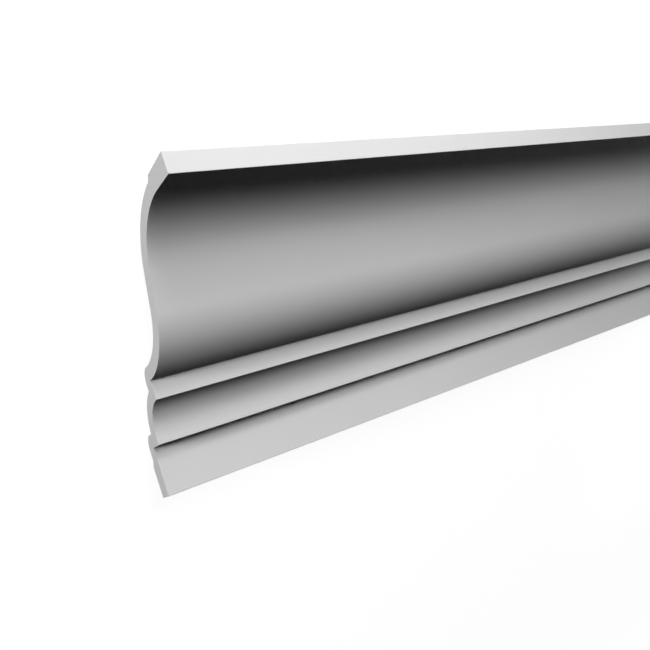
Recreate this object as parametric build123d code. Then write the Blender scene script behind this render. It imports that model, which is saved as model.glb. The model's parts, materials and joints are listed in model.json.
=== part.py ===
from build123d import *
import math
import os

# Cornice moulding: one sawn length of foamed plastic cornice for the corner of wall and ceiling.
# Sizes are in millimetres and degrees. The section is drawn as it is fixed: X out from the wall, Y up.

# Stock
length = 2000.0
height = 120.0
projection = 122.0
wall = 6.6

# Foot: the flat band at the bottom, and how far out its overhanging edge stands
foot_height = 24.3
foot_depth = 9.2
overhang_depth = 18.2

# Cove above the foot, and the upright fillet that it ends in
cove_lift = 2.9
cove_radius = 16.2
fillet_height = 9.4

# Ogee: a round lower curve and a hollow upper curve, with a straight steep run between them.
# A reach is the distance from the fillet or the lip to the corner that the curve rounds off.
ogee_low_reach = 24.0
ogee_high_reach = 37.4
ogee_high_radius = 34.0

# Lip at the ceiling: its upright face, and the degrees that its underside falls toward it
lip_height = 9.2
lip_fall = 2.8

# Glue lands: flat strips that stand proud of the back, with bevelled inner edges
wall_land = 16.0
ceiling_land = 17.5

# Radius of the sharp outer corners
arris = 0.3

# Places that follow from the sizes
fillet_out = overhang_depth + cove_radius
cove_top = foot_height + cove_lift + cove_radius
ogee_start = cove_top + fillet_height
lip_bottom = height - lip_height


def polar(distance, angle):
    """A step of the given distance, in the direction of the angle."""
    return Vector(distance, 0).rotate(Axis.Z, angle)


def ogee():
    """The lower curve, the steep run and the upper curve, each tangent to the next."""
    low_corner = Vector(fillet_out + ogee_low_reach, ogee_start)
    high_corner = Vector(projection, lip_bottom) - polar(ogee_high_reach, -lip_fall)
    run = high_corner - low_corner
    steepness = math.degrees(math.atan2(run.Y, run.X))
    low_radius = ogee_low_reach / math.tan(math.radians(steepness / 2))
    high_turn = steepness + lip_fall
    run_end = high_corner - polar(ogee_high_radius * math.tan(math.radians(high_turn / 2)), steepness)
    low_curve = JernArc((fillet_out, ogee_start), (1, 0), low_radius, steepness)
    high_curve = JernArc(run_end, polar(1, steepness), ogee_high_radius, -high_turn)
    return [low_curve, Line(low_curve @ 1, run_end), high_curve]


def face_line():
    """The moulded face, from the foot's bottom edge to the lip's top edge."""
    foot = Polyline(
        (foot_depth, 0), (foot_depth, foot_height), (overhang_depth, foot_height),
        (overhang_depth, foot_height + cove_lift))
    cove = JernArc(foot @ 1, (0, 1), cove_radius, -90)
    fillet = Line(cove @ 1, (fillet_out, ogee_start))
    curves = ogee()
    lip = Polyline(curves[-1] @ 1, (projection, lip_bottom), (projection, height))
    return Wire([edge for line in [foot, cove, fillet, *curves, lip] for edge in line.edges()])


def wall_band():
    """The thin wall behind the face, rounded where it passes the face's inner corners."""
    return make_face(face_line().offset_2d(wall, kind=Kind.ARC, side=Side.LEFT).edges())


def wall_glue_land():
    """The strip at the foot that lies against the wall."""
    bevel = foot_depth - wall
    inside = bevel + wall / 2
    return make_face(Polyline(
        (0, 0), (inside, 0), (inside, wall_land + bevel), (bevel, wall_land + bevel), (0, wall_land), (0, 0)))


def ceiling_glue_land():
    """The strip behind the lip that lies against the ceiling."""
    bevel = lip_height - wall
    inside = height - bevel - wall / 2
    edge = projection - ceiling_land
    return make_face(Polyline(
        (projection, height), (edge, height), (edge - bevel, height - bevel),
        (edge - bevel, inside), (projection, inside), (projection, height)))


def section():
    """The whole section, as one closed face with its sharp outer corners just rounded."""
    outline = wall_band() + wall_glue_land() + ceiling_glue_land()
    corners = [
        (0, 0), (foot_depth, 0), (overhang_depth, foot_height), (fillet_out, cove_top),
        (projection, lip_bottom), (projection, height)]
    return fillet([outline.vertices().sort_by_distance(corner)[0] for corner in corners], arris)


def resting_turn():
    """Degrees to turn the section so that it lies on its back, moulded face up.

    It rests on two round bulges: behind the fillet's top corner, and behind the ogee's upper curve.
    """
    straight_down = 270
    across = ogee()[-1].arc_center - Vector(fillet_out, ogee_start)
    toward_floor = math.atan2(across.Y, across.X) + math.acos(-ogee_high_radius / across.length)
    return straight_down - math.degrees(toward_floor)


def cornice_length():
    """The sawn length, lying on its back along X, centred, with the floor at Z 0."""
    stock = extrude(Plane.YZ * section(), length).rotate(Axis.X, resting_turn())
    box = stock.bounding_box()
    return stock.translate((-box.center().X, -box.center().Y, -box.min.Z))


os.makedirs("parts", exist_ok=True)
export_step(cornice_length(), "parts/cornice_length.step")
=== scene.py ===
import json
import math

import bmesh
import bpy
from mathutils import Matrix, Vector


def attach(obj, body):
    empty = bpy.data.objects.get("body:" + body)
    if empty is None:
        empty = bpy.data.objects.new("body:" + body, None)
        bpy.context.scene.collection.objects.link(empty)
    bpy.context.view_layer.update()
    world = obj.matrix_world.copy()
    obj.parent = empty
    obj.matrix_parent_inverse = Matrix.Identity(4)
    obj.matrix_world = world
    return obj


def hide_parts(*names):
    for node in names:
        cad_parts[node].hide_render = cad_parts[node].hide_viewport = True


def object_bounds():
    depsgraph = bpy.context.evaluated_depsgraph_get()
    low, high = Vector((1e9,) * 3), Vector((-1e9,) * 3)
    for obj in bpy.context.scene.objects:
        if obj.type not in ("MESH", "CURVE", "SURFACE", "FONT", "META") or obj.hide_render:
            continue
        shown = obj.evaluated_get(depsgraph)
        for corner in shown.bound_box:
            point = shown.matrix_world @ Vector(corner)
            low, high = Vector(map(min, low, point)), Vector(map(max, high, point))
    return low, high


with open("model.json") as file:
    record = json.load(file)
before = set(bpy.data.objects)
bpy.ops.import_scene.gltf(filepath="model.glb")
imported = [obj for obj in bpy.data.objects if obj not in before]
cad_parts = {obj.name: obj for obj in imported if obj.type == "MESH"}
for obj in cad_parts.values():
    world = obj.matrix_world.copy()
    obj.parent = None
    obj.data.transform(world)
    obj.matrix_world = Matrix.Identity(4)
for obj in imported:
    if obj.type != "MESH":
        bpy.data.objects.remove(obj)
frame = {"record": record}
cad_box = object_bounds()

# A sawn length of cornice moulding that lies on its back on a pale floor. Lengths are in metres.
# Its section is drawn as the moulding is fixed: p is out from the wall, h is up to the ceiling.
mm = 0.001

# Section
height = 120 * mm
projection = 122 * mm
wall = 6.6 * mm
foot_height = 24.3 * mm
foot_depth = 9.2 * mm
overhang_depth = 18.2 * mm
cove_lift = 2.9 * mm
cove_radius = 16.2 * mm
fillet_height = 9.4 * mm
ogee_low_reach = 24.0 * mm
ogee_high_reach = 37.4 * mm
ogee_high_radius = 34.0 * mm
lip_height = 9.2 * mm
lip_fall = math.radians(2.8)
wall_land = 16.0 * mm
ceiling_land = 17.5 * mm
arris = 0.3 * mm

# Places that follow from the sizes
fillet_out = overhang_depth + cove_radius
cove_start = foot_height + cove_lift
cove_top = cove_start + cove_radius
ogee_start = cove_top + fillet_height
lip_bottom = height - lip_height
length = cad_box[1].x - cad_box[0].x

# Mesh fineness
facet = math.radians(1.5)
arris_facets = 4
smooth_below = math.radians(30)

# The moulding's own directions as it lies, from the glue lands that would meet the wall and the ceiling
mounts = {mount["name"]: mount for mount in frame["record"]["mounts"]}
out = -Vector(mounts["wall_land"]["axis"])
up = Vector(mounts["ceiling_land"]["axis"])
along = Vector((-1, 0, 0))
land_middle = (wall_land + arris) / 2
wall_corner = Vector(mounts["wall_land"]["pos_m"]) - land_middle * up - length / 2 * along


def place(p, h, l=0.0):
    """A point p out from the wall, h up, and l along from the near end."""
    return wall_corner + p * out + h * up + l * along


def only(thing):
    """Makes this the one selected and active object."""
    bpy.ops.object.select_all(action="DESELECT")
    thing.select_set(True)
    bpy.context.view_layer.objects.active = thing


def pick(kind, test):
    """Selects the verts, edges or faces that pass the test, in edit mode."""
    modes = {"verts": "VERT", "edges": "EDGE", "faces": "FACE"}
    bpy.ops.mesh.select_mode(type=modes[kind])
    bpy.ops.mesh.select_all(action="DESELECT")
    mesh = bmesh.from_edit_mesh(bpy.context.object.data)
    for part in getattr(mesh, kind):
        if test(part):
            part.select_set(True)
    bmesh.update_edit_mesh(bpy.context.object.data)


# Moulding

class Sweep:
    """Draws the section with the selected long edge, strip by strip, and keeps where the edge now is."""

    def __init__(self, p, h):
        self.p, self.h = p, h

    def run(self, p, h):
        """A flat strip to p, h."""
        step = place(p, h) - place(self.p, self.h)
        bpy.ops.mesh.extrude_edges_move(TRANSFORM_OT_translate={"value": step})
        self.p, self.h = p, h

    def turn(self, centre, angle):
        """A round strip about the centre, anticlockwise where p points right and h up."""
        steps = max(3, round(abs(angle) / facet))
        bpy.ops.mesh.spin(steps=steps, angle=angle, center=place(*centre), axis=up.cross(out))
        p, h = self.p - centre[0], self.h - centre[1]
        self.p = centre[0] + p * math.cos(angle) - h * math.sin(angle)
        self.h = centre[1] + p * math.sin(angle) + h * math.cos(angle)


class Ogee:
    """The big curve: a lower and an upper arc that a straight steep run joins."""
    low_corner = Vector((fillet_out + ogee_low_reach, ogee_start))
    lip_way = Vector((math.cos(lip_fall), -math.sin(lip_fall)))
    high_corner = Vector((projection, lip_bottom)) - ogee_high_reach * lip_way
    run = high_corner - low_corner
    steepness = math.atan2(run.y, run.x)
    out_of_run = Vector((math.sin(steepness), -math.cos(steepness)))
    low_radius = ogee_low_reach / math.tan(steepness / 2)
    low_centre = Vector((fillet_out, ogee_start + low_radius))
    high_turn = steepness + lip_fall
    run_end = high_corner - ogee_high_radius * math.tan(high_turn / 2) * run.normalized()
    high_centre = run_end + ogee_high_radius * out_of_run


def long_edge():
    """A plane cut down to one edge, along X, at the bottom of the foot's face."""
    bpy.ops.object.select_all(action="DESELECT")
    start = place(foot_depth, 0, length / 2)
    bpy.ops.mesh.primitive_plane_add(size=length, location=start + Vector((0, length / 2, 0)))
    piece = bpy.context.object
    bpy.ops.object.transform_apply(location=True, rotation=False, scale=False)
    bpy.ops.object.mode_set(mode="EDIT")
    pick("verts", lambda vert: vert.co.y > start.y + length / 2)
    bpy.ops.mesh.delete(type="VERT")
    pick("edges", lambda edge: True)
    return piece


def sweep_face(edge):
    """The moulded face, from the foot's bottom edge to the lip's top edge."""
    edge.run(foot_depth, foot_height)
    edge.run(overhang_depth, foot_height)
    edge.run(overhang_depth, cove_start)
    edge.turn((fillet_out, cove_start), -math.pi / 2)
    edge.run(fillet_out, ogee_start)
    edge.turn(Ogee.low_centre, Ogee.steepness)
    edge.run(*Ogee.run_end)
    edge.turn(Ogee.high_centre, -Ogee.high_turn)
    edge.run(projection, lip_bottom)
    edge.run(projection, height)


def sweep_ceiling_land(edge):
    """The glue land behind the lip, with a 45 degree bevel that runs into the back of the upper arc."""
    edge.run(projection - ceiling_land, height)
    inward = Vector((-1, -1)).normalized()
    gap = Vector((edge.p, edge.h)) - Ogee.high_centre
    reach = gap.dot(inward)
    back_radius = ogee_high_radius + wall
    bevel = -reach - math.sqrt(reach ** 2 - gap.length_squared + back_radius ** 2)
    edge.run(edge.p + bevel * inward.x, edge.h + bevel * inward.y)


def sweep_back(edge):
    """The hollow back, a wall's thickness behind the face, from the lip down to the foot."""
    seen = math.atan2(edge.h - Ogee.high_centre.y, edge.p - Ogee.high_centre.x)
    edge.turn(Ogee.high_centre, math.pi / 2 + Ogee.steepness - seen)
    edge.run(*(Ogee.low_centre + (Ogee.low_radius - wall) * Ogee.out_of_run))
    edge.turn(Ogee.low_centre, -Ogee.steepness)
    edge.turn((fillet_out, ogee_start), math.pi / 2)
    cove_back = cove_radius + wall
    top = math.acos(-wall / cove_back)
    bottom = math.pi - math.asin((wall - cove_lift) / cove_back)
    edge.run(edge.p, cove_start + cove_back * math.sin(top))
    edge.turn((fillet_out, cove_start), bottom - top)
    edge.run(foot_depth, edge.h)
    edge.turn((foot_depth, foot_height), math.pi / 2)


def sweep_wall_land(edge):
    """The glue land at the foot, with its 45 degree bevel, and the foot's underside."""
    bevel = foot_depth - wall
    edge.run(bevel, wall_land + bevel)
    edge.run(0, wall_land)
    edge.run(0, 0)
    edge.run(foot_depth, 0)


def close_ends():
    """Joins the section's first edge to its last, fills both sawn ends and turns every face outward."""
    bpy.ops.mesh.select_all(action="SELECT")
    bpy.ops.mesh.remove_doubles(threshold=0.001 * mm)
    for side in (-1, 1):
        pick("edges", lambda edge: all(vert.co.x * side > length / 4 for vert in edge.verts))
        bpy.ops.mesh.edge_face_add()
    bpy.ops.mesh.select_all(action="SELECT")
    bpy.ops.mesh.normals_make_consistent(inside=False)


def round_arrises():
    """Just takes the sharpness off the outer long corners."""
    corners = [place(*corner) for corner in [
        (0, 0), (foot_depth, 0), (overhang_depth, foot_height), (fillet_out, cove_top),
        (projection, lip_bottom), (projection, height)]]

    def at_corner(edge):
        middle = (edge.verts[0].co + edge.verts[1].co) / 2
        is_long = edge.calc_length() > length / 2
        return is_long and any((middle - corner).yz.length < arris / 4 for corner in corners)

    pick("edges", at_corner)
    bpy.ops.mesh.bevel(offset=arris, segments=arris_facets, profile=0.5, affect="EDGES")


def moulded_length():
    """The whole length: one long edge swept round the section, then closed."""
    piece = long_edge()
    piece.name = "moulded_length"
    edge = Sweep(foot_depth, 0)
    sweep_face(edge)
    sweep_ceiling_land(edge)
    sweep_back(edge)
    sweep_wall_land(edge)
    close_ends()
    round_arrises()
    bpy.ops.object.mode_set(mode="OBJECT")
    only(piece)
    bpy.ops.object.shade_smooth_by_angle(angle=smooth_below)
    flats = piece.modifiers.new("flat_faces_stay_flat", "WEIGHTED_NORMAL")
    flats.keep_sharp = True
    bpy.ops.object.modifier_apply(modifier=flats.name)
    return piece


# Materials

def linear(code):
    """An sRGB hex colour as linear red, green, blue and alpha."""
    parts = [int(code[i:i + 2], 16) / 255 for i in (1, 3, 5)]
    return [c / 12.92 if c <= 0.04045 else ((c + 0.055) / 1.055) ** 2.4 for c in parts] + [1.0]


def add(tree, kind, inputs, output=0, **settings):
    """Adds a node with its settings and links, and gives the output that is asked for."""
    node = tree.nodes.new("ShaderNode" + kind)
    for name, value in settings.items():
        setattr(node, name, value)
    for name, value in inputs.items():
        if isinstance(value, bpy.types.NodeSocket):
            tree.links.new(value, node.inputs[name])
        else:
            node.inputs[name].default_value = value
    return node.outputs[output] if node.outputs else None


def new_material(name):
    """An empty node material, and its tree."""
    material = bpy.data.materials.new(name)
    material.use_nodes = True
    material.node_tree.nodes.clear()
    return material, material.node_tree


def primed_face():
    """Water-based primer, sprayed on smooth extruded foam and oven dried.

    It is a dead matt, even white, with a faint orange peel, and the die's drag lines just show through.
    """
    material, tree = new_material("sprayed_primer")
    peel_size = 1.4 * mm
    drag_pitch, drag_run = 2.2 * mm, 900 * mm
    cloud_size = 60 * mm
    spot = add(tree, "TexCoord", {}, "Object")
    drawn_out = add(tree, "Mapping", {
        "Vector": spot, "Scale": (1 / drag_run, 1 / drag_pitch, 1 / drag_pitch)})
    peel = add(tree, "TexNoise", {"Vector": spot, "Scale": 1 / peel_size, "Detail": 1.0, "Roughness": 0.5})
    drag = add(tree, "TexNoise", {"Vector": drawn_out, "Scale": 1.0, "Detail": 2.0, "Roughness": 0.6})
    cloud = add(tree, "TexNoise", {
        "Vector": spot, "Scale": 1 / cloud_size, "Detail": 3.0, "Roughness": 0.5})
    colour = add(tree, "MixRGB", {
        "Fac": cloud, "Color1": linear("#EAEAEA"), "Color2": linear("#E4E4E4")})
    roughness = add(tree, "MapRange", {"Value": cloud, "To Min": 0.74, "To Max": 0.82})
    peeled = add(tree, "Bump", {"Height": peel, "Strength": 1.0, "Distance": 0.008 * mm})
    dragged = add(tree, "Bump", {
        "Height": drag, "Strength": 1.0, "Distance": 0.010 * mm, "Normal": peeled})
    shader = add(tree, "BsdfPrincipled", {
        "Base Color": colour, "Roughness": roughness, "IOR": 1.45, "Specular IOR Level": 0.1,
        "Normal": dragged})
    add(tree, "OutputMaterial", {"Surface": shader})
    return material


def foam_skin():
    """The skin of extruded polystyrene foam as it leaves the die, without primer.

    It is a little warmer and glossier than the primer, and it has plain drag lines along its length.
    """
    material, tree = new_material("extruded_foam_skin")
    drag_pitch, drag_run = 1.6 * mm, 500 * mm
    blush_size = 25 * mm
    spot = add(tree, "TexCoord", {}, "Object")
    drawn_out = add(tree, "Mapping", {
        "Vector": spot, "Scale": (1 / drag_run, 1 / drag_pitch, 1 / drag_pitch)})
    drag = add(tree, "TexNoise", {"Vector": drawn_out, "Scale": 1.0, "Detail": 3.0, "Roughness": 0.6})
    blush = add(tree, "TexNoise", {
        "Vector": spot, "Scale": 1 / blush_size, "Detail": 3.0, "Roughness": 0.55})
    colour = add(tree, "MixRGB", {
        "Fac": blush, "Color1": linear("#EEEDE9"), "Color2": linear("#E5E4DE")})
    roughness = add(tree, "MapRange", {"Value": drag, "To Min": 0.38, "To Max": 0.54})
    dragged = add(tree, "Bump", {"Height": drag, "Strength": 1.0, "Distance": 0.03 * mm})
    shader = add(tree, "BsdfPrincipled", {
        "Base Color": colour, "Roughness": roughness, "IOR": 1.5, "Normal": dragged})
    add(tree, "OutputMaterial", {"Surface": shader})
    return material


def sawn_foam():
    """Extruded foam cut across with a fine circular saw.

    It is quite without gloss. Its pores, about 0.2 mm wide, are drawn at 0.8 mm, so that they just show,
    and the saw leaves shallow arcs. At scale 1 the rings of a wave texture are a ring width apart.
    """
    material, tree = new_material("sawn_foam")
    pore_size = 0.8 * mm
    tooth_pitch = 1.8 * mm
    ring_width = math.pi / 10
    saw_radius = 150 * mm
    spot = add(tree, "TexCoord", {}, "Object")
    from_saw = add(tree, "Mapping", {"Vector": spot, "Location": (0, saw_radius, saw_radius / 2)})
    arcs = add(tree, "TexWave", {
        "Vector": from_saw, "Scale": ring_width / tooth_pitch, "Distortion": 1.0, "Detail": 2.0},
        1, wave_type="RINGS", rings_direction="X")
    pores = add(tree, "TexVoronoi", {"Vector": spot, "Scale": 1 / pore_size}, "Distance")
    grain = add(tree, "TexNoise", {"Vector": spot, "Scale": 1 / (2 * pore_size), "Detail": 3.0})
    colour = add(tree, "MixRGB", {
        "Fac": grain, "Color1": linear("#ECECEC"), "Color2": linear("#E3E3E3")})
    sawn = add(tree, "Bump", {"Height": arcs, "Strength": 1.0, "Distance": 0.02 * mm})
    porous = add(tree, "Bump", {"Height": pores, "Strength": 1.0, "Distance": 0.03 * mm, "Normal": sawn})
    shader = add(tree, "BsdfPrincipled", {
        "Base Color": colour, "Roughness": 0.95, "IOR": 1.45, "Specular IOR Level": 0.1,
        "Normal": porous})
    add(tree, "OutputMaterial", {"Surface": shader})
    return material


def dress(piece):
    """Primer on the moulded face, bare skin behind, sawn foam at both ends."""
    sides = [
        (primed_face(), lambda face: True),
        (foam_skin(), lambda face: face.normal.dot(out - up) < 0),
        (sawn_foam(), lambda face: abs(face.normal.x) > 0.9)]
    only(piece)
    for material, _ in sides:
        piece.data.materials.append(material)
    bpy.ops.object.mode_set(mode="EDIT")
    for slot, (_, is_here) in enumerate(sides):
        pick("faces", is_here)
        piece.active_material_index = slot
        bpy.ops.object.material_slot_assign()
    bpy.ops.object.mode_set(mode="OBJECT")


# Room

def floor():
    """A wide pale floor that reads as white round the moulding and still takes its soft shadow.

    It glows a little less near the moulding, where the lamps light it too. That area is an ellipse, and
    the stretch is how much longer than wide it is.
    """
    near, far = 0.4, 1.6
    stretch = 2.0
    near_glow = 0.955
    bpy.ops.object.select_all(action="DESELECT")
    bpy.ops.mesh.primitive_plane_add(size=floor_size)
    plane = bpy.context.object
    plane.name = "floor"
    material, tree = new_material("white_floor")
    spot = add(tree, "TexCoord", {}, "Object")
    flattened = add(tree, "Mapping", {"Vector": spot, "Scale": (1 / stretch, 1, 0)})
    distance = add(tree, "VectorMath", {0: flattened}, "Value", operation="LENGTH")
    glow = add(tree, "MapRange", {
        "Value": distance, "From Min": near, "From Max": far, "To Min": near_glow, "To Max": 1.0},
        interpolation_type="SMOOTHSTEP")
    seen = add(tree, "AddShader", {
        0: add(tree, "Emission", {"Strength": glow}),
        1: add(tree, "BsdfDiffuse", {"Color": linear("#888888")})})
    lit = add(tree, "BsdfDiffuse", {"Color": linear("#E4E4E4")})
    shader = add(tree, "MixShader", {0: seen_directly(tree), 1: lit, 2: seen})
    add(tree, "OutputMaterial", {"Surface": shader})
    plane.data.materials.append(material)


def seen_directly(tree):
    """1 for a ray that the eye, a gloss or a glass sends out, and 0 for one that only carries light."""
    path = tree.nodes.new("ShaderNodeLightPath").outputs
    gloss = add(tree, "Math", {0: path["Is Camera Ray"], 1: path["Is Glossy Ray"]}, operation="MAXIMUM")
    return add(tree, "Math", {0: gloss, 1: path["Is Transmission Ray"]}, operation="MAXIMUM")


def room_light():
    """A white surround for the eye and for gloss, which adds no light of its own."""
    world = bpy.data.worlds.new("white_room")
    world.use_nodes = True
    world.node_tree.nodes.clear()
    tree = world.node_tree
    strength = add(tree, "MapRange", {"Value": seen_directly(tree), "To Min": 0.0, "To Max": 1.0})
    surround = add(tree, "Background", {"Color": linear("#FFFFFF"), "Strength": strength})
    add(tree, "OutputWorld", {"Surface": surround}, None)
    bpy.context.scene.world = world


def softbox(
        name, azimuth, elevation, brightness, aim, distance, width, height, grid=180, bounces=True):
    """A lamp that faces its aim. Brightness is what a white card at the aim, turned to it, would read.

    Azimuth 0 stands on the ceiling lip's side, and 90 off the near end. A grid keeps the light within its
    degrees, as the slats of a honeycomb do. A card reads less than the brightness under a lamp that is
    wider than its grid lets the card see. Light that doesn't bounce leaves the hollows of the moulding deep.
    """
    turned, raised = math.radians(azimuth), math.radians(elevation)
    toward = Vector((
        math.sin(turned) * math.cos(raised), -math.cos(turned) * math.cos(raised), math.sin(raised)))
    spot = aim + distance * toward
    bpy.ops.object.light_add(type="AREA", location=spot)
    lamp = bpy.context.object
    lamp.name = name
    lamp.rotation_euler = toward.to_track_quat("Z", "Y").to_euler()
    lamp.data.shape = "RECTANGLE"
    lamp.data.size = width
    lamp.data.size_y = height
    lamp.data.spread = math.radians(grid)
    if not bounces:
        lamp.data.cycles.max_bounces = 0
    half = lamp.data.spread / 2
    lamp.data.energy = brightness * (math.pi * distance) ** 2 * (1 - half / math.tan(half))


def photo_camera():
    """The viewpoint: close to the near end, on the room side, turned along the moulding and rolled."""
    stand = place(326.0 * mm, 6.1 * mm, -98.7 * mm)
    turn, pitch, roll = math.radians(34.63), math.radians(8.29), math.radians(20.05)
    ahead = math.cos(pitch) * (math.sin(turn) * along - math.cos(turn) * out) + math.sin(pitch) * up
    right = ahead.cross(up).normalized()
    right.rotate(Matrix.Rotation(roll, 3, ahead))
    bpy.ops.object.camera_add()
    camera = bpy.context.object
    camera.name = "photo_camera"
    camera.data.lens = 36
    camera.data.sensor_width = 36
    camera.data.clip_start = 10 * mm
    axes = Matrix([right, right.cross(ahead), -ahead]).transposed().to_4x4()
    camera.matrix_world = Matrix.Translation(stand) @ axes
    bpy.context.scene.camera = camera


floor_size = 12.0

# What the lamps aim at
face_middle = 10 * mm
near_part = Vector((length / 2 - 150 * mm, 0, face_middle))
far_part = Vector((-340 * mm, 0, face_middle))
behind_part = Vector((-290 * mm, 0, face_middle))
far_end = Vector((-length / 2 + 50 * mm, 0, face_middle))

piece = moulded_length()
dress(piece)
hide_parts("cornice_length")
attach(piece, "root")

floor()
room_light()

# The near end, which the photo camera sees
softbox("key", 12, 36, 0.458, near_part, distance=0.8, width=0.3, height=0.3, bounces=False)
softbox("low_key", 12, 12, 0.335, near_part, distance=0.6, width=0.25, height=0.2, bounces=False)
softbox("end", 76, 5, 0.477, near_part, distance=1.4, width=0.3, height=0.2, bounces=False)

# The rest of the length, from the lip's side, from behind and from the far end
softbox("far_key", 0, 30, 2.3, far_part, distance=0.8, width=1.32, height=0.4, grid=50)
softbox("far_back", 180, 35, 3.5, behind_part, distance=0.8, width=1.42, height=0.4, grid=35)
softbox("far_end", 290, 10, 0.35, far_end, distance=0.8, width=0.3, height=0.25)

photo_camera()
bpy.context.scene.view_settings.view_transform = "Standard"
